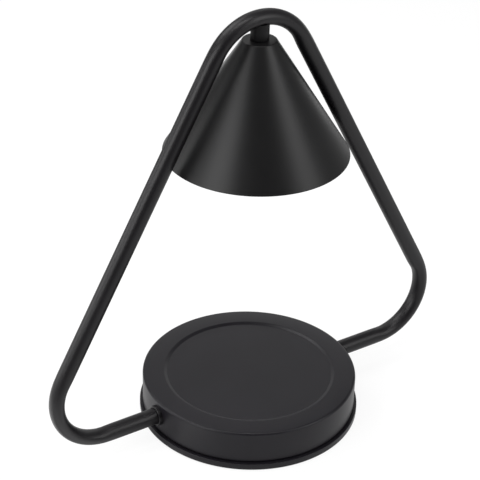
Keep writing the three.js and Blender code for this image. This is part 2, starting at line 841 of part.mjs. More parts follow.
add('base_cover', baseCover(), 'blackPowderCoat');
add('base_tray', baseTray(), 'blackPowderCoat');
add('foot_pad', footPad(), 'foam');
add('ballast_weight', ballastWeight(), 'castIron');
trayScrewPlaces().forEach((place, index) =>
  add(`tray_screw_${index + 1}`, trayScrew(place), 'zincSteel'));
add('cord_gland', cordGland(), 'blackPlastic');
add('terminal_block', terminalBlock(), 'whitePlastic');
terminalPlaces.forEach((x, index) =>
  add(`terminal_screw_${index + 1}`, terminalScrew(x), 'brass'));

add('frame_tube', frameTube(), 'blackPowderCoat');
[['left', -1], ['right', 1]].forEach(([name, side]) => {
  add(`entry_collar_${name}`, entryCollar(side), 'blackCollar');
  add(`tube_nut_${name}`, barNut(side), 'zincSteel');
});

add('neck_sleeve', neckSleeve(), 'blackPowderCoat');
add('threaded_nipple', threadedNipple(), 'zincSteel');
add('shade', coneShade(), 'blackPowderCoat');
add('shade_washer', ring(nipple.radius + seatGap, shadeInside(washerTop) - washer.wallClearance,
  washerBottom, washerTop, smallSides), 'zincSteel');
add('shade_nut', hexNut(2 * (nipple.radius + shadeNut.wall), nipple.radius + seatGap,
  shadeNutBottom, shadeNut.height), 'zincSteel');
add('lampholder_bracket', holderBracket(), 'zincSteel');
add('lampholder', lampholder(), 'ceramic');
holderScrewPlaces().forEach((place, index) =>
  add(`holder_screw_${index + 1}`, holderScrew(place), 'zincSteel'));
[0, 180].forEach((around, index) =>
  add(`contact_strip_${index + 1}`, contactStrip(around), 'brass'));

const bulbGroup = new THREE.Group();
group.add(bulbGroup);
add('bulb_base', bulbBase(), 'ceramic', bulbGroup);
bulbPins().forEach((place, index) =>
  add(`bulb_pin_${index + 1}`, bulbPin(place), 'zincSteel', bulbGroup));
add('bulb_reflector', bulbReflector(), 'silveredGlass', bulbGroup);
add('bulb_lens', bulbLens(), 'clearGlass', bulbGroup);
add('bulb_capsule', bulbCapsule(), 'clearGlass', bulbGroup);

add('lamp_wire_1', lampWire(1), 'redSleeve');
add('lamp_wire_2', lampWire(-1), 'blueSleeve');

export default group;
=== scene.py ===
import json
import math

import bpy
import numpy as np
from mathutils import Matrix, Vector


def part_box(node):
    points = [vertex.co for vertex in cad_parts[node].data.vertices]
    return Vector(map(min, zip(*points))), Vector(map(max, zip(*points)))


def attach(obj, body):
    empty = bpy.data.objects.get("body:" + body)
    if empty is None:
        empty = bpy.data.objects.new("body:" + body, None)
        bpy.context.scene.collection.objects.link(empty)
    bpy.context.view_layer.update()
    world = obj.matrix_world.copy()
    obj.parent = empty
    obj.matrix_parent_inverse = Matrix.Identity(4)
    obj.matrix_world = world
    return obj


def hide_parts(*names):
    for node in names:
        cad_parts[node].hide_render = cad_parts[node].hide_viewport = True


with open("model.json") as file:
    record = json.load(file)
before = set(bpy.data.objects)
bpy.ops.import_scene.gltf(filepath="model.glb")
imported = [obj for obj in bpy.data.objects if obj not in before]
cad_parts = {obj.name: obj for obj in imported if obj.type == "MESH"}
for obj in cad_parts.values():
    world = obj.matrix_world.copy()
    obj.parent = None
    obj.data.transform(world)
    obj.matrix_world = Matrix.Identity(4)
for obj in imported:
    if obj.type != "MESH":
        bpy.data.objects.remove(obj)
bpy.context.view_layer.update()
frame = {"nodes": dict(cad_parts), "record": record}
mm = 0.001  # shapes are worked out in millimetres and go into their meshes in metres
tiny = 1e-6  # a length below this counts as nothing
print("frame loaded:", len(frame["nodes"]), "nodes")


def nodeBox(name):
    # lowest and highest corners of a CAD node at rest, in millimetres
    low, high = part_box(name)
    return np.array(low) / mm, np.array(high) / mm


coverLow, coverHigh = nodeBox("base_cover")
shadeLow, shadeHigh = nodeBox("shade")
trayHigh = nodeBox("base_tray")[1]
frameHigh = nodeBox("frame_tube")[1]
nutHigh = nodeBox("tube_nut_left")[1]
crown = frameHigh[2] - frameHigh[1]  # height of the tube's centre line at the apex

# Camera: where the photograph was taken from, with its slight roll
camera = {"azimuth": -33.95, "elevation": 30.63, "roll": 1.56, "distance": 973.9, "lens": 117.82,
          "sensor": 36.0, "aimHeight": 124.3, "aimShift": -8.22}


def pointing(azimuth, elevation):
    # unit vector at an azimuth from the front and an elevation above level, in degrees
    turn, rise = math.radians(azimuth), math.radians(elevation)
    return Vector((math.sin(turn) * math.cos(rise), -math.cos(turn) * math.cos(rise), math.sin(rise)))


def makeCamera(size):
    # looks along -back at the aim point; its right and up are turned in their own plane by the roll
    back = pointing(size["azimuth"], size["elevation"])
    right = pointing(size["azimuth"] + 90, 0)
    up = back.cross(right)
    roll = math.radians(size["roll"])
    rolledRight = right * math.cos(roll) + up * math.sin(roll)
    rolledUp = up * math.cos(roll) - right * math.sin(roll)
    aim = Vector((0, 0, size["aimHeight"])) + right * size["aimShift"]
    data = bpy.data.cameras.new("camera")
    data.lens = size["lens"]
    data.sensor_width = size["sensor"]
    item = bpy.data.objects.new("camera", data)
    item.matrix_world = Matrix((rolledRight, rolledUp, back)).transposed().to_4x4()
    item.matrix_world.translation = (aim + back * size["distance"]) * mm
    bpy.context.scene.collection.objects.link(item)
    bpy.context.scene.camera = item


makeCamera(camera)


# Mesh tools

def newObject(name, points, faces):
    # points in millimetres, as rows of x, y, z; faces as blocks of rows of corner numbers
    mesh = bpy.data.meshes.new(name)
    mesh.from_pydata((np.asarray(points, float) * mm).tolist(), [],
                     [face for block in faces for face in np.asarray(block).tolist()])
    mesh.update()
    item = bpy.data.objects.new(name, mesh)
    bpy.context.scene.collection.objects.link(item)
    return item


def shadeSmooth(mesh, sharp):
    # smooth shading, apart from edges whose faces meet at more than the sharp angle, in degrees
    mesh.polygons.foreach_set("use_smooth", np.ones(len(mesh.polygons), bool))
    mesh.set_sharp_from_angle(angle=math.radians(sharp))


def addPiece(name, shape, body, replaced, cutters=(), sharp=32):
    # a piece of its body that stands for CAD nodes, with the cutters' shapes taken out of it
    item = newObject(name, *shape)
    tools = [newObject("cutter", *cutter) for cutter in cutters]
    for tool in tools:
        hole = item.modifiers.new("hole", "BOOLEAN")
        hole.operation = "DIFFERENCE"
        hole.solver = "EXACT"
        hole.object = tool
    if tools:
        plain = item.data
        cut = item.evaluated_get(bpy.context.evaluated_depsgraph_get())
        item.data = bpy.data.meshes.new_from_object(cut)
        item.data.name = name
        item.modifiers.clear()
        bpy.data.meshes.remove(plain)
        for tool in tools:
            bpy.data.meshes.remove(tool.data)
    shadeSmooth(item.data, sharp)
    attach(item, body)
    if replaced:
        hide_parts(*replaced)
    return item


def gridFaces(rows, columns, closeRows=False):
    # quads of a grid of points, row by row, whose rows are rings
    row = np.arange(rows if closeRows else rows - 1)[:, None]
    column = np.arange(columns)[None, :]
    nextRow = (row + 1) % rows
    nextColumn = (column + 1) % columns
    corners = [row * columns + column, row * columns + nextColumn,
               nextRow * columns + nextColumn, nextRow * columns + column]
    grids = [np.broadcast_to(corner, (row.size, column.size)) for corner in corners]
    return np.stack(grids, -1).reshape(-1, 4)


def ringAngles(sides):
    # angles of a ring's points: equal shares of a turn from 0
    return np.linspace(0, 2 * np.pi, sides, endpoint=False)


def filleted(corners, steps=8):
    # outline from corners (x, y, radius): an arc of the radius, tangent to both sides, in place of each
    count = len(corners)
    points = []
    for index, (x, y, radius) in enumerate(corners):
        here = np.array([x, y], float)
        if not radius:
            points.append(here[None])
            continue
        back = np.array(corners[(index - 1) % count][:2], float) - here
        ahead = np.array(corners[(index + 1) % count][:2], float) - here
        back /= np.linalg.norm(back)
        ahead /= np.linalg.norm(ahead)
        half = math.acos(float(back @ ahead)) / 2
        middle = (back + ahead) / np.linalg.norm(back + ahead)
        centre = here + middle * radius / math.sin(half)
        spoke = here + back * radius / math.tan(half) - centre
        turn = math.copysign(math.pi - 2 * half, ahead[0] * back[1] - ahead[1] * back[0])
        angles = np.linspace(0, turn, steps + 1)
        points.append(centre + np.stack([spoke[0] * np.cos(angles) - spoke[1] * np.sin(angles),
                                         spoke[0] * np.sin(angles) + spoke[1] * np.cos(angles)], -1))
    return np.concatenate(points)


def turnedShape(outline, sides=192):
    # point (u, v) = (r(v) cos u, r(v) sin u, z(v)): an outline in (radius, height), anticlockwise,
    # that closes on itself, or starts and ends on the axis with a pole at each end
    outline = np.asarray(outline, float)
    onAxis = outline[:, 0] < tiny
    rings = outline[~onAxis]
    angles = ringAngles(sides)
    points = np.stack([rings[:, :1] * np.cos(angles), rings[:, :1] * np.sin(angles),
                       np.broadcast_to(rings[:, 1:], (len(rings), sides))], -1).reshape(-1, 3)
    faces = [gridFaces(len(rings), sides, closeRows=not onAxis.any())]
    if not onAxis.any():
        return points, faces
    poles = np.array([[0, 0, height] for height in outline[onAxis][:, 1]])
    ring = np.arange(sides)
    nextRing = (ring + 1) % sides
    lastRing = (len(rings) - 1) * sides
    faces.append(np.stack([np.full(sides, len(points)), nextRing, ring], -1))
    faces.append(np.stack([np.full(sides, len(points) + 1), lastRing + ring, lastRing + nextRing], -1))
    return np.concatenate([points, poles]), faces


def prismShape(outline, bottom, top, spread=1.0):
    # an outline in X and Y carried straight up, its size going evenly from 1 to spread
    count = len(outline)
    ring = np.arange(count)
    nextRing = (ring + 1) % count
    points = np.concatenate([np.c_[outline, np.full(count, bottom)],
                             np.c_[outline * spread, np.full(count, top)]])
    return points, [np.stack([ring, nextRing, nextRing + count, ring + count], -1), ring[::-1][None],
                    ring[None] + count]


def drumShape(radius, bottom, top, sides=64):
    # a round prism: (radius cos u, radius sin u) carried straight up
    angles = ringAngles(sides)
    return prismShape(radius * np.stack([np.cos(angles), np.sin(angles)], -1), bottom, top)


def laid(shape, side, height):
    # a shape that stands on Z, laid along +X, -X or +Y by a quarter turn, and lifted
    points, faces = shape
    x, y, z = np.asarray(points, float).T
    turned = {"right": (z, y, height - x), "left": (-z, y, height + x), "back": (x, z, height - y)}[side]
    return np.stack(turned, -1), faces


def shifted(shape, x, y=0.0):
    # a shape moved level by x and y
    return shape[0] + np.array([x, y, 0.0]), shape[1]


def carriedShape(line, side, radius, sides):
    # a round wire with flat ends: point (s, u) = line(s) + radius (side cos u + (heading x side) sin u)
    heading = np.gradient(line, axis=0)
    heading /= np.linalg.norm(heading, axis=1, keepdims=True)
    side = side - heading * np.sum(heading * side, 1, keepdims=True)
    side /= np.linalg.norm(side, axis=1, keepdims=True)
    other = np.cross(heading, side)
    angles = ringAngles(sides)[None, :, None]
    points = line[:, None] + radius * (side[:, None] * np.cos(angles) + other[:, None] * np.sin(angles))
    ring = np.arange(sides)[None]
    faces = [gridFaces(len(line), sides), ring[:, ::-1], ring + (len(line) - 1) * sides]
    return points.reshape(-1, 3), faces


print("camera and mesh tools ready")

# Base

cover = {"wider": 0.25, "higher": 0.3, "sheet": 1.2, "edge": 1.6, "rimWidth": 14.9, "recessDepth": 1.05,
         "recessSlope": 2.0, "recessBend": 2.0, "recessFoot": 1.0, "skirtTop": 5.9, "skirtInset": 1.1,
         "skirtBend": 0.5, "sides": 256}
tube = {"radius": 5.26, "wall": 1.2, "barHeight": 16.8, "halfWidth": 162.5, "rise": 291.8, "pastNut": 10.0,
        "cornerBend": 32.9, "apexBend": 34.2, "bendSteps": 48, "runSteps": 20, "sides": 64,
        "cornerFlat": 0.119, "apexFlat": 0.096, "widening": 0.48, "flatRamp": 12.0, "wireHole": 3.2}
gland = {"bore": 3.2, "neck": 4.2, "flange": 6.2, "edge": 0.7, "lip": 0.8, "innerRound": 0.3,
         "height": 13.0}
holeGap = 0.25  # room all round what goes through a hole
overrun = 1.0  # how far a cutter reaches past the face that it cuts
seatGap = 0.02  # how far off the CAD's wall a flange or bush sits


def makeCover(size):
    # a turned sheet: its outline goes out under the recess and down inside the skirt, and comes back over
    # the outside; cutters laid along X and Y, four sheets deep, open the wall for the bars and the grommet
    radius, top, bottom = coverHigh[0] + size["wider"], coverHigh[2] + size["higher"], coverLow[2]
    sheet, inset = size["sheet"], size["skirtInset"]
    floor = top - size["recessDepth"]
    edge = radius - size["rimWidth"] + size["recessSlope"] / 2
    foot = radius - size["rimWidth"] - size["recessSlope"] / 2
    outline = filleted([
        (0, floor - sheet, 0),
        (foot + sheet, floor - sheet, 0),
        (edge + sheet, top - sheet, 0),
        (radius - sheet, top - sheet, size["edge"] - sheet),
        (radius - sheet, size["skirtTop"], 0),
        (radius - inset - sheet, size["skirtTop"] - inset, 0),
        (radius - inset - sheet, bottom, 0),
        (radius - inset, bottom, 0),
        (radius - inset, size["skirtTop"], size["skirtBend"]),
        (radius, size["skirtTop"], size["skirtBend"]),
        (radius, top, size["edge"]),
        (edge, top, size["recessBend"]),
        (foot, floor, size["recessFoot"]),
        (0, floor, 0),
    ])
    through = (radius - 4 * sheet, radius + sheet)
    holes = [laid(drumShape(tube["radius"] + holeGap, *through), side, tube["barHeight"])
             for side in ("left", "right")]
    holes.append(laid(drumShape(gland["neck"] + holeGap, *through), "back", gland["height"]))
    return addPiece("base_cover_shell", turnedShape(outline, size["sides"]), "lamp", ["base_cover"],
                    holes)


coverShell = makeCover(cover)

tray = {"sheet": 1.2, "lipHeight": 4.85, "lipBottom": 0.5, "lipTop": 0.25, "lipFoot": 0.7,
        "innerRound": 0.3, "gap": 0.3, "sides": 256}
screws = {"head": 2.9, "headHeight": 0.9, "face": 0.8, "faceRise": 0.02, "dome": 0.5, "headRound": 0.3,
          "seatRound": 0.1, "shank": 1.5, "tipRound": 0.3, "recessLong": 1.7, "recessWide": 0.42,
          "recessDeep": 0.55, "recessMouth": 0.2, "recessPoint": 0.55}
pad = {"edge": 0.4, "hole": 4.0}
screwNames = [f"tray_screw_{number}" for number in (1, 2, 3)]
screwPlaces = [tuple(((low + high) / 2)[:2]) for low, high in map(nodeBox, screwNames)]


def screwHoles(radius, bottom, top):
    # round cutters at the tray screws, a little past both faces
    return [shifted(drumShape(radius, bottom - overrun, top + overrun, sides=48), x, y)
            for x, y in screwPlaces]


def makeTray(size):
    # a turned sheet: a flat floor inside the pan's skirt, and a lip that comes down and round its foot
    radius, top, bottom = trayHigh[0], size["lipHeight"], size["lipBottom"]
    inside = coverHigh[0] - cover["skirtInset"] + size["gap"]
    floorTop = coverLow[2] - size["gap"]
    floorBottom = floorTop - size["sheet"]
    outline = filleted([
        (0, floorBottom, 0),
        (inside - size["sheet"], floorBottom, 0),
        (inside - size["sheet"], bottom, 0),
        (radius, bottom, size["lipFoot"]),
        (radius, top, size["lipTop"]),
        (inside, top, size["innerRound"]),
        (inside, floorTop, 0),
        (0, floorTop, 0),
    ])
    return addPiece("base_tray_lip", turnedShape(outline, size["sides"]), "lamp", ["base_tray"],
                    screwHoles(screws["shank"] + holeGap, floorBottom, floorTop))


def makePad(size):
    # a turned disc of foam with rounded edges and a hole under each screw
    low, high = nodeBox("foot_pad")
    outline = filleted([
        (0, low[2], 0),
        (high[0], low[2], size["edge"]),
        (high[0], high[2], size["edge"] / 2),
        (0, high[2], 0),
    ], steps=4)
    return addPiece("foam_foot", turnedShape(outline), "lamp", ["foot_pad"],
                    screwHoles(size["hole"], low[2], high[2]))


def makeScrew(size, name, place):
    # a turned pan head under the tray with a plain shank, less a cross made of four quarter turns of one
    # corner, which narrows inwards
    low, high = nodeBox(name)
    bottom, shoulder = low[2], low[2] + size["headHeight"]
    outline = filleted([
        (0, bottom, 0),
        (size["head"] * size["face"], bottom + size["faceRise"], size["headRound"]),
        (size["head"], bottom + size["dome"], size["headRound"]),
        (size["head"], shoulder, size["seatRound"]),
        (size["shank"], shoulder, 0),
        (size["shank"], high[2], size["tipRound"]),
        (0, high[2], 0),
    ], steps=5)
    wide, long = size["recessWide"], size["recessLong"]
    corner = np.array([[wide, -long], [wide, -wide], [long, -wide]])
    quarterTurn = np.array([[0, -1], [1, 0]])
    cross = np.concatenate([corner @ np.linalg.matrix_power(quarterTurn, count).T for count in range(4)])
    recess = prismShape(cross, bottom - size["recessMouth"], bottom + size["recessDeep"],
                        spread=size["recessPoint"])
    return addPiece(f"{name}_head", shifted(turnedShape(outline, sides=48), *place), "lamp", [name],
                    [shifted(recess, *place)])


trayLip = makeTray(tray)
foamFoot = makePad(pad)
screwHeads = [makeScrew(screws, name, place) for name, place in zip(screwNames, screwPlaces)]


def makeGland(size):
    # a flanged grommet, turned and laid along Y through the back of the wall; the flange's inner face
    # follows the wall, at sqrt(R squared - x squared) from the base's axis
    low, high = nodeBox("cord_gland")
    seat = coverHigh[1]
    outline = filleted([
        (size["bore"], low[1], size["innerRound"]),
        (size["neck"], low[1], size["innerRound"]),
        (size["neck"], seat, 0),
        (size["flange"], seat, 0),
        (size["flange"], high[1], size["edge"]),
        (size["bore"], high[1], size["lip"]),
    ], steps=6)
    points, faces = turnedShape(outline, sides=96)
    onWall = np.abs(points[:, 2] - seat) < tiny
    points[onWall, 2] = np.sqrt((seat + seatGap) ** 2 - points[onWall, 0] ** 2)
    return addPiece("cord_grommet", laid((points, faces), "back", size["height"]), "lamp", ["cord_gland"])


grommet = makeGland(gland)

# Frame


def bend(before, corner, after, radius, steps):
    # round bend in the XZ plane, tangent to both straight runs: its points and headings, with
    # point (t) = start + radius (arrive sin t + inward (1 - cos t))
    arrive = (corner - before) / np.linalg.norm(corner - before)
    leave = (after - corner) / np.linalg.norm(after - corner)
    turn = math.acos(float(arrive @ leave))
    side = math.copysign(1, arrive[0] * leave[1] - arrive[1] * leave[0])
    inward = side * np.array([-arrive[1], arrive[0]])
    start = corner - arrive * radius * math.tan(turn / 2)
    angles = np.linspace(0, turn, steps + 1)[:, None]
    points = start + radius * (np.sin(angles) * arrive + (1 - np.cos(angles)) * inward)
    return points, np.cos(angles) * arrive + np.sin(angles) * inward


def run(start, end, steps):
    # straight stretch between two bends, without its end points: the share along it goes as
    # (1 - cos t) / 2, so that its points are closer together near the ends
    share = (1 - np.cos(np.linspace(0, np.pi, steps + 1)[1:-1, None])) / 2
    heading = (end - start) / np.linalg.norm(end - start)
    return start + (end - start) * share, np.repeat(heading[None], steps - 1, 0)


def smoothStep(share):
    # rises smoothly from 0 to 1: share squared times (3 - 2 share)
    share = np.clip(share, 0, 1)
    return share * share * (3 - 2 * share)


def frameLine(size, inner):
    # centre line of the frame tube, from the left bar's inner end round to the right one's,
    # with its headings and the share by which the section is flattened in each bend
    left = np.array([-size["halfWidth"], size["barHeight"]])
    right = left * [-1, 1]
    apex = np.array([0, size["barHeight"] + size["rise"]])
    start, end = np.array([-inner, size["barHeight"]]), np.array([inner, size["barHeight"]])
    steps = size["bendSteps"]
    leftBend = bend(start, left, apex, size["cornerBend"], steps)
    apexBend = bend(left, apex, right, size["apexBend"], steps)
    rightBend = bend(apex, right, end, size["cornerBend"], steps)
    ends = [(place[None], np.array([[-1, 0]])) for place in (start, end)]
    parts = [ends[0], run(start, leftBend[0][0], size["runSteps"]), leftBend,
             run(leftBend[0][-1], apexBend[0][0], 2 * size["runSteps"]), apexBend,
             run(apexBend[0][-1], rightBend[0][0], 2 * size["runSteps"]), rightBend,
             run(rightBend[0][-1], end, size["runSteps"]), ends[1]]
    line = np.concatenate([part[0] for part in parts])
    heading = np.concatenate([part[1] for part in parts])
    travel = np.concatenate([[0], np.cumsum(np.linalg.norm(np.diff(line, axis=0), axis=1))])
    firsts = np.cumsum([0] + [len(part[0]) for part in parts])
    flat = np.zeros(len(line))
    # the bends are parts 2, 4 and 6, and the ramp into and out of each is centred on its end
    for index, amount in ((2, size["cornerFlat"]), (4, size["apexFlat"]), (6, size["cornerFlat"])):
        enter, leave = travel[firsts[index]], travel[firsts[index + 1] - 1]
        entering = smoothStep((travel - enter) / size["flatRamp"] + 0.5)
        leaving = smoothStep((leave - travel) / size["flatRamp"] + 0.5)
        flat += amount * entering * leaving
    return line, heading, flat


def makeFrame(size):
    # an oval carried along the centre line, out along the outer wall and back along the bore:
    # point (s, u) = line(s) + normal(s) a(s) cos u + Y b(s) sin u; a is narrowed and b widened in bends
    line, heading, flat = frameLine(size, abs(nutHigh[0] + size["pastNut"]))
    normal = np.stack([heading[:, 1], -heading[:, 0]], -1)
    angles = ringAngles(size["sides"])

    def wall(inset):
        # the tube's surface, set in by the inset
        narrow = (size["radius"] * (1 - flat) - inset)[:, None]
        wide = (size["radius"] * (1 + flat * size["widening"]) - inset)[:, None]
        flatPoints = line[:, None, :] + (narrow * np.cos(angles))[..., None] * normal[:, None, :]
        return np.stack([flatPoints[..., 0], wide * np.sin(angles), flatPoints[..., 1]], -1)

    grid = np.concatenate([wall(0), wall(size["wall"])[::-1]])
    faces = [gridFaces(len(grid), size["sides"], closeRows=True)]
    hole = drumShape(size["wireHole"], crown - size["radius"] - 2 * overrun, crown)
    return addPiece("frame_bent_tube", (grid.reshape(-1, 3), faces), "lamp", ["frame_tube"],
                    [hole])


frameTube = makeFrame(tube)

collar = {"edge": 0.6, "gap": 0.15, "reach": 2.0, "sides": 96}


def makeCollar(size, side):
    # a turned bush laid along the bar; its inner face follows the wall, at sqrt(R squared - y squared)
    # from the base's axis
    low, high = nodeBox("entry_collar_left")
    bore, outer, face = tube["radius"] + size["gap"], high[1], abs(low[0])
    seat = coverHigh[0]
    outline = filleted([
        (bore, seat - size["reach"], 0),
        (outer, seat - size["reach"], 0),
        (outer, face, size["edge"]),
        (bore, face, size["edge"] / 2),
    ], steps=6)
    points, faces = turnedShape(outline, size["sides"])
    onWall = points[:, 2] < seat - size["reach"] / 2
    points[onWall, 2] = np.sqrt((seat + seatGap) ** 2 - points[onWall, 1] ** 2)
    return addPiece(f"entry_bush_{side}", laid((points, faces), side, tube["barHeight"]), "lamp",
                    [f"entry_collar_{side}"])


bushes = [makeCollar(collar, "left"), makeCollar(collar, "right")]

# Neck and shade

neck = {"sides": 96, "bore": 4.3, "sideLimit": 3.0, "footRound": 0.3}


def makeNeck(size):
    # a turned sleeve whose top follows the underside of the tube's flattened bend:
    # height = crown - sag(x) - a sqrt(1 - (y / b) squared), with sag(x) = R - sqrt(R squared - x squared);
    # the side limit is the least that the last term may be
    low, high = nodeBox("neck_sleeve")
    bottom, saddle = low[2], crown - tube["radius"]
    outline = filleted([
        (size["bore"], bottom, 0),
        (high[0], bottom, size["footRound"]),
        (high[0], saddle + overrun, 0),
        (size["bore"], saddle + overrun, 0),
    ], steps=4)
    points, faces = turnedShape(outline, size["sides"])
    top = points[:, 2] > saddle
    x, y = points[top, 0], points[top, 1]
    narrow = tube["radius"] * (1 - tube["apexFlat"])
    wide = tube["radius"] * (1 + tube["apexFlat"] * tube["widening"])
    sag = tube["apexBend"] - np.sqrt(tube["apexBend"] ** 2 - x ** 2)
    under = narrow * np.sqrt(np.maximum(1 - (y / wide) ** 2, 0))
    points[top, 2] = crown - sag - np.maximum(under, size["sideLimit"])
    return addPiece("neck_spacer", (points, faces), "lamp", ["neck_sleeve"])


neckSpacer = makeNeck(neck)

shade = {"hole": 4.3, "topRadius": 10.3, "sheet": 1.0, "topEdge": 0.8, "rimRound": 0.48, "sides": 256}


def makeShade(size):
    # a turned cone of even sheet with a flat top, a hole for the nipple and a round rim; measured level,
    # the cone's wall is the sheet times sqrt(1 + slope squared)
    rimRadius, rim, top = shadeHigh[0], shadeLow[2], shadeHigh[2]
    slope = (rimRadius - size["topRadius"]) / (top - rim)
    across = size["sheet"] * math.hypot(1, slope)
    under = top - size["sheet"]
    inner = size["topRadius"] + slope * size["sheet"] - across
    outline = filleted([
        (size["hole"], under, 0),
        (inner, under, size["topEdge"] / 2),
        (rimRadius - across, rim, size["rimRound"]),
        (rimRadius, rim, size["rimRound"]),
        (size["topRadius"], top, size["topEdge"]),
        (size["hole"], top, 0),
    ])
    return addPiece("cone_shade", turnedShape(outline, size["sides"]), "lamp", ["shade"])


coneShade = makeShade(shade)
print("base, frame, neck and shade made")

# Bulb

bulb = {"throat": 4.5, "throatRound": 0.3, "roof": 0.3, "collar": 11.4, "collarRound": 0.5, "cap": 9.6,
        "capFoot": 0.6, "edge": 0.8, "notch": 1.6, "notchDepth": 0.7, "notchTop": 3.0,
        "pinHole": 1.8, "pinSeat": 0.3,
        "glass": 1.3, "rimHeight": 3.6, "rimChamfer": 0.3, "facetRows": 9, "facetColumns": 16,
        "facetDepth": 0.28, "innerRings": 72, "outerRings": 36, "bowlSides": 192,
        "lensCrown": 0.35, "lensEdge": 0.4, "lensRings": 24,
        "capsule": 4.15, "capsuleGlass": 0.8, "domeRings": 17,
        "filament": 0.07, "coil": 0.65, "coilLength": 3.85, "coilHeight": 7.0, "turns": 22, "turnSteps": 14,
        "leadSteps": 20, "leadSpread": 1.6, "leadBow": 0.6, "leadSeat": 0.3}


def makeBulbBase(size):
    # stepped ceramic foot, turned, with a throat for the capsule; two side notches and the pins' sockets
    # are cut out of it
    low, high = nodeBox("bulb_base")
    step = low[2] + (high[2] - low[2]) / 2
    outline = filleted([
        (0, step + size["roof"], 0),
        (size["throat"], step + size["roof"], 0),
        (size["throat"], low[2], size["throatRound"]),
        (size["collar"], low[2], size["collarRound"]),
        (size["collar"], step, size["edge"]),
        (size["cap"], step + size["collar"] - size["cap"], size["capFoot"]),
        (size["cap"], high[2], size["edge"]),
        (0, high[2], 0),
    ], steps=6)
    notch = drumShape(size["notch"], low[2] - overrun, step + size["notchTop"], sides=40)
    reach = size["collar"] + size["notch"] - size["notchDepth"]
    cutters = [shifted(notch, side * reach) for side in (-1, 1)]
    for name in ("bulb_pin_1", "bulb_pin_2"):
        pinLow, pinHigh = nodeBox(name)
        x, y = ((pinLow + pinHigh) / 2)[:2]
        socket = drumShape(size["pinHole"], pinLow[2] - size["pinSeat"], high[2] + overrun, sides=32)
        cutters.append(shifted(socket, x, y))
    return addPiece("bulb_ceramic_foot", turnedShape(outline, sides=96), "bulb", ["bulb_base"],
                    cutters)


def makeReflector(size):
    # paraboloid shell: r squared grows evenly from the neck to the rim; the inside is dimpled,
    # the inner radius going in by depth |sin(columns u)| |sin(rows pi v)|
    low, high = nodeBox("bulb_reflector")
    rim, glass, chamfer = high[0], size["glass"], size["rimChamfer"]

    def bowl(inset, rings):
        # radii, heights and shares of the way down of the bowl's rings, set in by the inset
        share = np.linspace(0, 1, rings + 1)
        top = high[2] - inset
        radius = np.sqrt(size["collar"] ** 2 + (rim ** 2 - size["collar"] ** 2) * share) - inset
        return radius, top + (low[2] + size["rimHeight"] - top) * share, share

    inRadius, inHeight, share = bowl(glass, size["innerRings"])
    outRadius, outHeight, _ = bowl(0, size["outerRings"])
    radius = np.concatenate([[size["throat"]], inRadius, [rim - glass, rim - chamfer, rim], outRadius[::-1],
                             [size["throat"]]])
    height = np.concatenate([[high[2] - glass], inHeight, [low[2], low[2], low[2] + chamfer],
                             outHeight[::-1], [high[2]]])
    angles = ringAngles(size["bowlSides"])
    rows = np.abs(np.sin(size["facetRows"] * np.pi * share))
    columns = np.abs(np.sin(size["facetColumns"] * angles))
    dimple = np.zeros((len(radius), len(angles)))
    dimple[1:1 + len(inRadius)] = size["facetDepth"] * np.outer(rows, columns)
    across = radius[:, None] - dimple
    points = np.stack([across * np.cos(angles), across * np.sin(angles),
                       np.broadcast_to(height[:, None], across.shape)], -1)
    shape = (points.reshape(-1, 3), [gridFaces(len(radius), len(angles), closeRows=True)])
    return addPiece("reflector_bowl", shape, "bulb", ["bulb_reflector"], sharp=60)


def makeLens(size):
    # clear front glass, slightly crowned outwards: its lower face drops by crown (1 - (r / R) squared)
    low, high = nodeBox("bulb_lens")
    radius = np.linspace(0, high[0] - size["lensEdge"], size["lensRings"])
    rim = low[2] + size["lensCrown"]
    drop = size["lensCrown"] * (1 - (radius / radius[-1]) ** 2)
    face = np.stack([radius, rim - drop], -1)
    edge = np.array([[high[0], rim + size["lensEdge"]], [high[0], high[2]], [0, high[2]]])
    return addPiece("front_lens", turnedShape(np.concatenate([face, edge]), sides=128), "bulb",
                    ["bulb_lens"])


def makeCapsule(size):
    # hollow quartz capsule, open at the top inside the foot: quarter circles (r cos t, middle + r sin t),
    # turned into a domed tip outside and inside, and carried straight up
    low, high = nodeBox("bulb_capsule")
    dome = np.linspace(-np.pi / 2, 0, size["domeRings"])
    outer, inner = size["capsule"], size["capsule"] - size["capsuleGlass"]
    outside = np.stack([outer * np.cos(dome), low[2] + outer * (1 + np.sin(dome))], -1)
    inside = np.stack([inner * np.cos(dome), low[2] + outer + inner * np.sin(dome)], -1)[::-1]
    outside[0, 0] = inside[-1, 0] = 0
    top = np.array([[outer, high[2]], [inner, high[2]]])
    return addPiece("quartz_capsule", turnedShape(np.concatenate([outside, top, inside]), sides=64), "bulb",
                    ["bulb_capsule"])


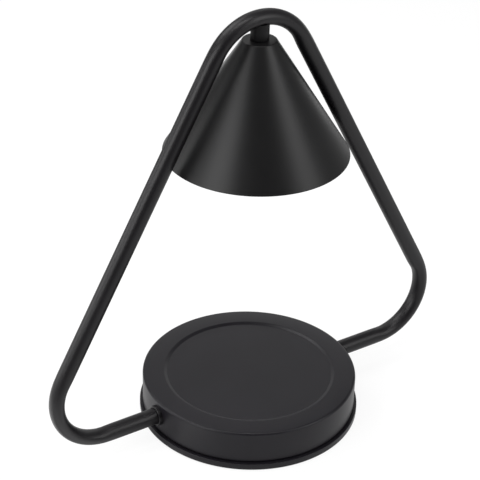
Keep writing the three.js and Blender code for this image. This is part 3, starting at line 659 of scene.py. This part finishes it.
def makeFilament(size):
    # coiled wire along Y: (coil cos t, travel, coil sin t), with two leads up into the foot that bow
    # outwards by sin(pi share)
    low, high = nodeBox("bulb_capsule")
    middle = low[2] + size["coilHeight"]
    turns = np.linspace(0, 2 * np.pi * size["turns"], size["turnSteps"] * size["turns"])
    along = size["coilLength"] / 2 * np.linspace(-1, 1, len(turns))
    coil = np.stack([size["coil"] * np.cos(turns), along, middle + size["coil"] * np.sin(turns)], -1)
    shapes = [carriedShape(coil, np.tile([0.0, 1.0, 0.0], (len(coil), 1)), size["filament"], sides=6)]
    for end, side in ((coil[0], -1), (coil[-1], 1)):
        climb = np.linspace(0, 1, size["leadSteps"])[:, None]
        foot = np.array([0, side * size["leadSpread"], high[2] - size["leadSeat"]])
        bow = np.array([0, side * size["leadBow"], 0]) * np.sin(np.pi * climb)
        lead = end + (foot - end) * climb + bow
        across = np.tile([1.0, 0.0, 0.0], (len(lead), 1))
        shapes.append(carriedShape(lead, across, 2 * size["filament"], sides=10))
    points, faces, count = [], [], 0
    for part, blocks in shapes:
        points.append(part)
        faces += [block + count for block in blocks]
        count += len(part)
    return addPiece("filament_coil", (np.concatenate(points), faces), "bulb", None)


bulbFoot = makeBulbBase(bulb)
reflectorBowl = makeReflector(bulb)
frontLens = makeLens(bulb)
quartzCapsule = makeCapsule(bulb)
filamentCoil = makeFilament(bulb)
print("bulb made")


# Shader maths: an expression on values adds the Math nodes that work it out

class Value:
    def __init__(self, shading, socket):
        self.shading = shading
        self.socket = socket

    def maths(self, operation, first, second):
        # one Math node on two values, sockets or numbers
        made = self.shading.node("ShaderNodeMath", {"operation": operation}, {0: first, 1: second})
        return Value(self.shading, made.outputs[0])

    def __add__(self, other):
        return self.maths("ADD", self, other)

    def __radd__(self, other):
        return self.maths("ADD", other, self)

    def __sub__(self, other):
        return self.maths("SUBTRACT", self, other)

    def __rsub__(self, other):
        return self.maths("SUBTRACT", other, self)

    def __mul__(self, other):
        return self.maths("MULTIPLY", self, other)

    def __rmul__(self, other):
        return self.maths("MULTIPLY", other, self)

    def larger(self, other):
        return self.maths("MAXIMUM", self, other)


class Shading:
    # a node tree that is filled from empty
    def __init__(self, tree):
        self.tree = tree
        tree.nodes.clear()

    def node(self, kind, settings=None, sockets=None):
        # any node: its type, its settings, and the values or links of its sockets by name or number
        made = self.tree.nodes.new(kind)
        for key, value in (settings or {}).items():
            setattr(made, key, value)
        for key, value in (sockets or {}).items():
            self.feed(made.inputs[key], value)
        return made

    def feed(self, socket, value):
        # a value or another socket is linked, and anything else is set
        if isinstance(value, Value):
            self.tree.links.new(value.socket, socket)
        elif isinstance(value, bpy.types.NodeSocket):
            self.tree.links.new(value, socket)
        else:
            socket.default_value = value

    def smooth(self, value, low, high):
        # 0 below low and 1 above high, with a smooth rise between
        made = self.node("ShaderNodeMapRange", {"interpolation_type": "SMOOTHSTEP"},
                         {"Value": value, "From Min": low, "From Max": high})
        return Value(self, made.outputs[0])

    def along(self, place, axis):
        # how far a place or a direction goes along an axis: their dot product
        made = self.node("ShaderNodeVectorMath", {"operation": "DOT_PRODUCT"}, {0: place, 1: axis})
        return Value(self, made.outputs["Value"])

    def rayMasks(self):
        # 1 for the camera's own rays, and 1 for rays that a mirror or glass has sent on
        rays = self.node("ShaderNodeLightPath").outputs
        return rays["Is Camera Ray"], Value(self, rays["Is Glossy Ray"]).larger(rays["Is Transmission Ray"])

    def mixShader(self, factor, first, second):
        # the first shader where the factor is 0, the second where it is 1
        return self.node("ShaderNodeMixShader", None, {0: factor, 1: first, 2: second}).outputs[0]


class Finish(Shading):
    # a material: its Principled shader and what feeds it, on Object coordinates
    def __init__(self, name):
        self.material = bpy.data.materials.new(name)
        self.material.use_nodes = True
        super().__init__(self.material.node_tree)
        self.shader = self.node("ShaderNodeBsdfPrincipled")
        self.output = self.node("ShaderNodeOutputMaterial", None, {"Surface": self.shader.outputs["BSDF"]})
        self.place = self.node("ShaderNodeTexCoord").outputs["Object"]

    def stretched(self, scale):
        # coordinates that draw a pattern out along the axes whose scale is below 1
        return self.node("ShaderNodeMapping", None, {"Vector": self.place, "Scale": scale}).outputs[0]

    def noise(self, scale, detail, roughness=0.5, place=None):
        # soft noise from 0 to 1, with scale lumps to the metre
        made = self.node("ShaderNodeTexNoise", None, {"Vector": place or self.place, "Scale": scale,
                                                      "Detail": detail, "Roughness": roughness})
        return Value(self, made.outputs[0])

    def cells(self, scale):
        # distance to the nearest of scattered points, scale of them to the metre
        made = self.node("ShaderNodeTexVoronoi", None, {"Vector": self.place, "Scale": scale})
        return Value(self, made.outputs["Distance"])

    def mixColour(self, factor, first, second):
        # the first colour where the factor is 0, the second where it is 1
        made = self.node("ShaderNodeMix", {"data_type": "RGBA"}, {0: factor, 6: first, 7: second})
        return made.outputs[2]

    def mottled(self, factor, colour, spread):
        # from 1 - spread to 1 + spread times a colour
        return self.mixColour(factor, tinted(colour, 1 - spread), tinted(colour, 1 + spread))

    def bump(self, height, distance, strength, normal=None):
        # a normal tilted by a height of up to distance, in metres, over another normal if one is given
        sockets = {"Height": height, "Distance": distance, "Strength": strength}
        if normal:
            sockets["Normal"] = normal
        return self.node("ShaderNodeBump", None, sockets).outputs["Normal"]

    def wear(self, **sockets):
        # feeds the shader; an underline in a socket's name stands for a space
        for key, value in sockets.items():
            self.feed(self.shader.inputs[key.replace("_", " ")], value)
        return self.material


def grey(level):
    # an opaque grey
    return (level, level, level, 1)


def tinted(colour, factor):
    # a colour times a factor, no brighter than 1
    return tuple(min(1, part * factor) for part in colour[:3]) + (1,)


# Matt black powder coat
coat = {"dark": 0.0064, "light": 0.0076, "tint": (1.05, 0.93, 1.26), "rough": 0.38, "specular": 0.24,
        "cloudRough": 0.03, "speckRough": 0.08,
        "cloud": 38.0, "peel": 1400.0, "speck": 4200.0, "peelHeight": 0.000007, "speckHeight": 0.000004}


def powderCoat(name, size, tone=1.0, specular=1.0):
    # fine orange peel and specks in the bump; clouds go from dark to light, and roughness goes by
    # cloudRough (clouds - 0.5) + speckRough (specks - 0.5)
    finish = Finish(name)
    cloud = finish.noise(size["cloud"], detail=4)
    peel = finish.noise(size["peel"], detail=2, roughness=0.45)
    speck = finish.noise(size["speck"], detail=2, roughness=0.6)
    colour = finish.mixColour(finish.smooth(cloud, low=0.3, high=0.7),
                              tinted(size["tint"], size["dark"] * tone),
                              tinted(size["tint"], size["light"] * tone))
    rough = size["rough"] + (cloud - 0.5) * size["cloudRough"] + (speck - 0.5) * size["speckRough"]
    peeled = finish.bump(peel, size["peelHeight"], strength=0.6)
    return finish.wear(Base_Color=colour, Roughness=rough, Specular_IOR_Level=size["specular"] * specular,
                       Normal=finish.bump(speck, size["speckHeight"], strength=0.5, normal=peeled))


blackCoat = powderCoat("black_powder_coat", coat)
# copies of the coat: the tube's and the cone's are darker by their tone, which is painted shade, and the
# tube's reflects more; the neck's is a little darker and reflects half as much
tubeCoatPaintedShade = powderCoat("black_tube_coat_painted_shade", {**coat, "tint": (1.08, 0.94, 1.16), "rough": 0.4},
                      tone=0.66, specular=1.24)
coneCoatPaintedShade = powderCoat("black_cone_coat_painted_shade", {**coat, "tint": (1.0, 0.98, 1.03)}, tone=0.85)
neckCoat = powderCoat("black_neck_coat", {**coat, "tint": (1.0, 0.98, 1.04)}, tone=0.95, specular=0.5)


# Closed-cell foam
def foamFinish(size):
    # small pits in a dark matt skin: colour and depth by a share of the pits plus a share of the grain, so
    # the sunk pits are also darker, which is painted shade
    finish = Finish("foot_foam")
    pits = finish.smooth(finish.cells(size["cells"]), low=0.1, high=0.6)
    grain = finish.noise(size["grain"], detail=3)
    # painted shade: the pits that the bump sinks are darker in colour too
    tone = pits * size["pitShare"] + grain * (1 - size["pitShare"])
    return finish.wear(Base_Color=finish.mixColour(tone, grey(size["dark"]), grey(size["light"])),
                       Roughness=size["rough"] + grain * size["roughSpread"],
                       Specular_IOR_Level=size["specular"],
                       Normal=finish.bump(pits + grain * size["grainDepth"], size["depth"], strength=0.8))


foam = foamFinish({"cells": 950.0, "grain": 2375.0, "dark": 0.01, "light": 0.024, "pitShare": 0.7,
                   "grainDepth": 0.4, "depth": 0.0002, "rough": 0.85, "roughSpread": 0.12,
                   "specular": 0.25})


# Sand-cast iron of the ballast
def castFinish(size):
    # grain from dark to light iron, with thin rust where the clouds are thickest; rust takes metal away
    finish = Finish("cast_iron")
    sand = finish.noise(size["sand"], detail=5, roughness=0.65)
    cloud = finish.noise(size["cloud"], detail=3)
    rust = finish.smooth(cloud, low=0.62, high=0.8) * size["rustShare"]
    iron = finish.mixColour(sand, grey(size["dark"]), grey(size["light"]))
    return finish.wear(Base_Color=finish.mixColour(rust, iron, size["rust"]),
                       Metallic=size["metallic"] - rust,
                       Roughness=size["rough"] + sand * size["roughSpread"],
                       Normal=finish.bump(sand, size["depth"], strength=0.7))


castIron = castFinish({"sand": 900.0, "cloud": 75.0, "dark": 0.06, "light": 0.12,
                       "rust": (0.12, 0.06, 0.035, 1), "rustShare": 0.35,
                       "metallic": 0.85, "rough": 0.55, "roughSpread": 0.2, "depth": 0.00015})


# Bright metal, drawn one way
def metalFinish(name, colour, size, roughSpread=0.22):
    # fine streaks along an axis in roughness and bump, under slow changes of tone by 1 - or + the spread
    finish = Finish(name)
    streaks = finish.noise(size["streaks"], detail=3, roughness=0.6, place=finish.stretched(size["along"]))
    cloud = finish.noise(size["cloud"], detail=3)
    return finish.wear(Base_Color=finish.mottled(cloud, colour, size["spread"]), Metallic=1.0,
                       Roughness=size["rough"] + (streaks - 0.5) * roughSpread,
                       Normal=finish.bump(streaks, size["depth"], strength=0.5))


zinc = metalFinish("zinc_steel", (0.55, 0.565, 0.585, 1), {
    "streaks": 900.0, "along": (1, 1, 0.15), "cloud": 220.0,
    "spread": 0.12, "rough": 0.34, "depth": 0.00001})
brass = metalFinish("brass", (0.62, 0.42, 0.13, 1), {
    "streaks": 700.0, "along": (0.15, 1, 1), "cloud": 180.0,
    "spread": 0.1, "rough": 0.3, "depth": 0.00001})
tungsten = metalFinish("tungsten", (0.32, 0.31, 0.3, 1), {
    "streaks": 2500.0, "along": (1, 1, 1), "cloud": 900.0,
    "spread": 0.1, "rough": 0.45, "depth": 0.000004})


# Moulded plastic with a fine spark-eroded texture
def plasticFinish(name, colour, size, coarser=30, roughSpread=0.16):
    # grain in roughness and bump, under clouds so many times coarser, with tone by 1 - or + the spread
    finish = Finish(name)
    grain = finish.noise(size["grain"], detail=2, roughness=0.6)
    cloud = finish.noise(size["grain"] / coarser, detail=3)
    return finish.wear(Base_Color=finish.mottled(cloud, colour, size["spread"]),
                       Roughness=size["rough"] + (grain - 0.5) * roughSpread,
                       Specular_IOR_Level=size["specular"],
                       Normal=finish.bump(grain, size["depth"], strength=0.6))


sleeve = {"grain": 1500.0, "spread": 0.12, "rough": 0.45, "specular": 0.45, "depth": 0.00001}
blackPlastic = plasticFinish("black_plastic", grey(0.016), {
    "grain": 2200.0, "spread": 0.15, "rough": 0.5, "specular": 0.4, "depth": 0.00002})
whitePlastic = plasticFinish("white_plastic", (0.7, 0.69, 0.64, 1), {
    "grain": 1800.0, "spread": 0.03, "rough": 0.42, "specular": 0.5, "depth": 0.000015})
brownSleeve = plasticFinish("wire_sleeve", (0.2, 0.06, 0.03, 1), sleeve)
blueSleeve = plasticFinish("wire_sleeve_blue", (0.03, 0.09, 0.3, 1), sleeve)


# Unglazed steatite
def ceramicFinish(size):
    # chalky white between two clays by the clouds, with faint grey specks where the cells' points are near
    finish = Finish("ceramic")
    grain = finish.noise(size["grain"], detail=4, roughness=0.6)
    cloud = finish.noise(size["cloud"], detail=3)
    speck = 1 - finish.smooth(finish.cells(size["specks"]), low=0.08, high=0.2)
    clay = finish.mixColour(cloud, size["dark"], size["light"])
    return finish.wear(Base_Color=finish.mixColour(speck * size["speckShare"], clay, size["speckTone"]),
                       Roughness=size["rough"] + grain * size["roughSpread"],
                       Normal=finish.bump(grain, size["depth"], strength=0.6))


ceramic = ceramicFinish({"grain": 1300.0, "cloud": 65.0,
                         "dark": (0.76, 0.74, 0.69, 1), "light": (0.82, 0.8, 0.76, 1), "specks": 420.0,
                         "speckTone": (0.45, 0.42, 0.38, 1), "speckShare": 0.5,
                         "rough": 0.5, "roughSpread": 0.2, "depth": 0.00003})


# Pressed glass with a bright coating
def silverFinish(size):
    # tone and bump by a slow wave, and roughness by a fine dust
    finish = Finish("silvered_glass")
    wave = finish.noise(size["wave"], detail=2)
    dust = finish.noise(size["dust"], detail=3)
    return finish.wear(Base_Color=finish.mixColour(wave, size["dark"], size["light"]), Metallic=1.0,
                       Roughness=size["rough"] + dust * size["roughSpread"],
                       Normal=finish.bump(wave, size["depth"], strength=0.5))


silver = silverFinish({"wave": 160.0, "dust": 1440.0,
                       "dark": (0.78, 0.8, 0.83, 1), "light": (0.88, 0.89, 0.9, 1),
                       "rough": 0.07, "roughSpread": 0.1, "depth": 0.00004})


# Clear glass
def glassFinish(size):
    # clear all through, with a faint slow wave in the bump
    finish = Finish("clear_glass")
    wave = finish.noise(size["wave"], detail=2)
    return finish.wear(Base_Color=size["colour"], Roughness=size["rough"], Transmission_Weight=1.0,
                       IOR=size["ior"], Normal=finish.bump(wave, size["depth"], strength=0.4))


clearGlass = glassFinish({"wave": 120.0, "colour": (0.97, 0.985, 0.98, 1), "rough": 0.02, "ior": 1.48,
                          "depth": 0.00002})

# Which finish each slot's carried-over CAD nodes have, and below it which one each piece has
finishes = {
    "black_powder_coat": blackCoat,
    "foot_foam": foam,
    "cast_iron": castIron,
    "zinc_steel": zinc,
    "black_plastic": blackPlastic,
    "white_plastic": whitePlastic,
    "brass": brass,
    "ceramic": ceramic,
    "silvered_glass": silver,
    "clear_glass": clearGlass,
    "wire_sleeve": brownSleeve,
}
for material, pieces in ((blackCoat, (coverShell, trayLip)), (tubeCoatPaintedShade, (frameTube, *bushes)),
                         (neckCoat, (neckSpacer,)), (coneCoatPaintedShade, (coneShade,)),
                         (foam, (foamFoot,)), (zinc, screwHeads), (blackPlastic, (grommet,)),
                         (ceramic, (bulbFoot,)), (silver, (reflectorBowl,)),
                         (clearGlass, (frontLens, quartzCapsule)), (tungsten, (filamentCoil,))):
    for piece in pieces:
        piece.data.materials.append(material)
slotOf = {row["node"]: row["material_slot"] for row in frame["record"]["subparts"]}
for nodeName, item in frame["nodes"].items():
    item.data.materials.clear()
    item.data.materials.append(blueSleeve if nodeName == "lamp_wire_2" else finishes[slotOf[nodeName]])
print("finishes made")

# Floor, light and background

studio = {
    "floorSpan": 6000.0, "floorDrop": 0.05, "floorTone": 0.94, "floorSpread": 0.01, "floorRough": 0.9,
    "paper": 3.0, "floorGlow": 0.85,
    # what only mirrored rays see of the floor: painted shadow near the foot and under the left bar, painted
    # dark far off, and a painted bright patch at the left that stands in for a reflector card; places in
    # metres
    "nearPaintedShadow": 0.1, "nearEnd": 0.095, "nearFade": 0.035,
    "barPaintedShadow": 0.52, "barStart": 0.06, "barHalf": 0.006, "barFade": 0.014,
    "farPaintedDark": 0.45, "behindFrom": 0.11, "sideTurn": -78.0, "sideFrom": 0.23, "farFade": 0.14,
    "paintedPatchLevel": 1.85, "paintedPatchFrom": 0.078, "paintedPatchTo": 0.26, "paintedPatchFront": 0.045, "paintedPatchBack": 0.1,
    "paintedPatchFade": 0.035,
    # the room: its level for the object's light, and what mirrored rays see at the sides and behind
    "room": 0.42, "sides": 0.38, "backdrop": 0.2, "back": 50.0, "backTurn": 210.0, "backFrom": 0.3,
    "backTo": 0.95, "front": 25.0, "frontDark": 1.0, "frontFrom": 0.25, "frontTo": 0.7,
    "highDark": 0.5, "highFrom": 0.38, "highTo": 0.64,
    # azimuth and elevation in degrees, distance, width and height in millimetres, and watts
    "softboxes": {
        "left_softbox": (-83, 26, 1300, 690, 700, 9.1),
        "right_softbox": (32, 32, 1300, 560, 950, 7.4),
        "top_softbox": (-34, 80, 1300, 700, 300, 5.6),
        "rear_left_softbox": (-124, 7, 1300, 900, 420, 4.8),
        "high_left_softbox": (-155, 55, 1300, 700, 750, 7.5),
        "high_back_softbox": (146, 43, 585, 300, 200, 0.16),
        "back_softbox": (143, 8, 430, 600, 120, 0.33),
    },
}


def makeFloor(size):
    # a flat square a hair under the foot, of pale paper that glows nearly white for the camera and for
    # mirrored rays; for mirrored rays alone the painted bright patch is mixed in, and then painted shade by
    # the largest dimming
    half, low = size["floorSpan"] / 2, -size["floorDrop"]
    corners = np.array([[-half, -half, low], [half, -half, low], [half, half, low], [-half, half, low]])
    floor = newObject("floor", corners, [np.arange(4)[None]])
    finish = Finish("floor")
    paper = finish.noise(size["paper"], detail=2)
    tone = finish.mixColour(paper, grey(size["floorTone"]), grey(size["floorTone"] + size["floorSpread"]))
    finish.wear(Base_Color=tone, Roughness=size["floorRough"], Specular_IOR_Level=0.0)
    direct, mirrored = finish.rayMasks()
    away = finish.node("ShaderNodeVectorMath", {"operation": "LENGTH"}, {0: finish.place}).outputs["Value"]
    x, y, _ = finish.node("ShaderNodeSeparateXYZ", None, {0: finish.place}).outputs
    leftwards = 0 - Value(finish, x)
    forwards = 0 - Value(finish, y)

    def until(value, end, fade):
        # 1 up to the end, then smoothly down to 0 over the fade
        return 1 - finish.smooth(value, end, end + fade)

    def beyond(azimuth, start):
        # 0 up to a distance along an azimuth, then smoothly up to 1
        reach = finish.along(finish.place, pointing(azimuth, 0))
        return finish.smooth(reach, start, start + size["farFade"])

    # painted shadow for mirrored rays near the foot and in a band under the left bar, and painted dark far
    # behind and far to the side
    near = until(away, size["nearEnd"], size["nearFade"])
    left = until(x, -size["barStart"] - size["barFade"], size["barFade"])
    bar = left * until(Value(finish, y).larger(forwards), size["barHalf"], size["barFade"])
    behind = beyond(camera["azimuth"] + 180, size["behindFrom"])
    far = behind.larger(beyond(size["sideTurn"], size["sideFrom"]))
    paintedShade = (near * (1 - left) * size["nearPaintedShadow"]).larger(bar * size["barPaintedShadow"]).larger(far * size["farPaintedDark"])
    # painted bright patch at the left, seen only by mirrored rays, in place of a reflector card
    paintedPatch = finish.smooth(leftwards, size["paintedPatchFrom"], size["paintedPatchFrom"] + size["paintedPatchFade"])
    paintedPatch = paintedPatch * until(leftwards, size["paintedPatchTo"], 2 * size["paintedPatchFade"])
    paintedPatch = paintedPatch * until(forwards, size["paintedPatchFront"], size["paintedPatchFade"])
    paintedPatch = paintedPatch * until(y, size["paintedPatchBack"], 2 * size["paintedPatchFade"])
    glow, dark, bright = [
        finish.node("ShaderNodeEmission", None, {"Color": grey(1.0), "Strength": strength}).outputs[0]
        for strength in (1.0, 0.0, size["paintedPatchLevel"])]
    mixed = finish.mixShader(mirrored.larger(direct) * size["floorGlow"],
                             finish.shader.outputs["BSDF"], glow)
    mixed = finish.mixShader(mirrored * paintedPatch, mixed, bright)
    mixed = finish.mixShader(mirrored * paintedShade, mixed, dark)
    finish.feed(finish.output.inputs["Surface"], mixed)
    floor.data.materials.append(finish.material)


def makeSoftbox(name, azimuth, elevation, distance, wide, high, watts):
    # a rectangular light that faces the axis at the camera's aim height from a distance
    back = pointing(azimuth, elevation)
    data = bpy.data.lights.new(name, "AREA")
    data.shape = "RECTANGLE"
    data.size = wide * mm
    data.size_y = high * mm
    data.energy = watts
    lamp = bpy.data.objects.new(name, data)
    lamp.location = (Vector((0, 0, camera["aimHeight"])) + back * distance) * mm
    lamp.rotation_mode = "QUATERNION"
    lamp.rotation_quaternion = back.to_track_quat("Z", "Y")
    bpy.context.scene.collection.objects.link(lamp)


def makeWorld(size):
    # white to the camera, and a pale room to the rest; mirrored rays see a level that goes from the sides'
    # to the backdrop's behind, times 1 - front dark in front, times 1 - high dark above, apart from behind
    world = bpy.data.worlds.new("studio")
    world.use_nodes = True
    room = Shading(world.node_tree)
    direct, mirrored = room.rayMasks()
    ray = room.node("ShaderNodeTexCoord").outputs["Generated"]
    front = room.smooth(room.along(ray, pointing(camera["azimuth"], size["front"])),
                        size["frontFrom"], size["frontTo"])
    behind = room.smooth(room.along(ray, pointing(camera["azimuth"] + size["backTurn"], size["back"])),
                         size["backFrom"], size["backTo"])
    high = room.smooth(room.along(ray, (0, 0, 1)), size["highFrom"], size["highTo"])
    level = size["sides"] + behind * (size["backdrop"] - size["sides"])
    level = level * (1 - front * size["frontDark"]) * (1 - high * (1 - behind) * size["highDark"])

    def background(strength):
        # plain white light of a strength
        light = {"Color": grey(1.0), "Strength": strength}
        return room.node("ShaderNodeBackground", None, light).outputs[0]

    lit = room.mixShader(mirrored, background(size["room"]), background(level))
    seen = room.mixShader(direct, lit, background(1.0))
    room.node("ShaderNodeOutputWorld", None, {"Surface": seen})
    bpy.context.scene.world = world


makeFloor(studio)
for name, values in studio["softboxes"].items():
    makeSoftbox(name, *values)
makeWorld(studio)
bpy.context.scene.view_settings.view_transform = "Standard"
print("stage made")
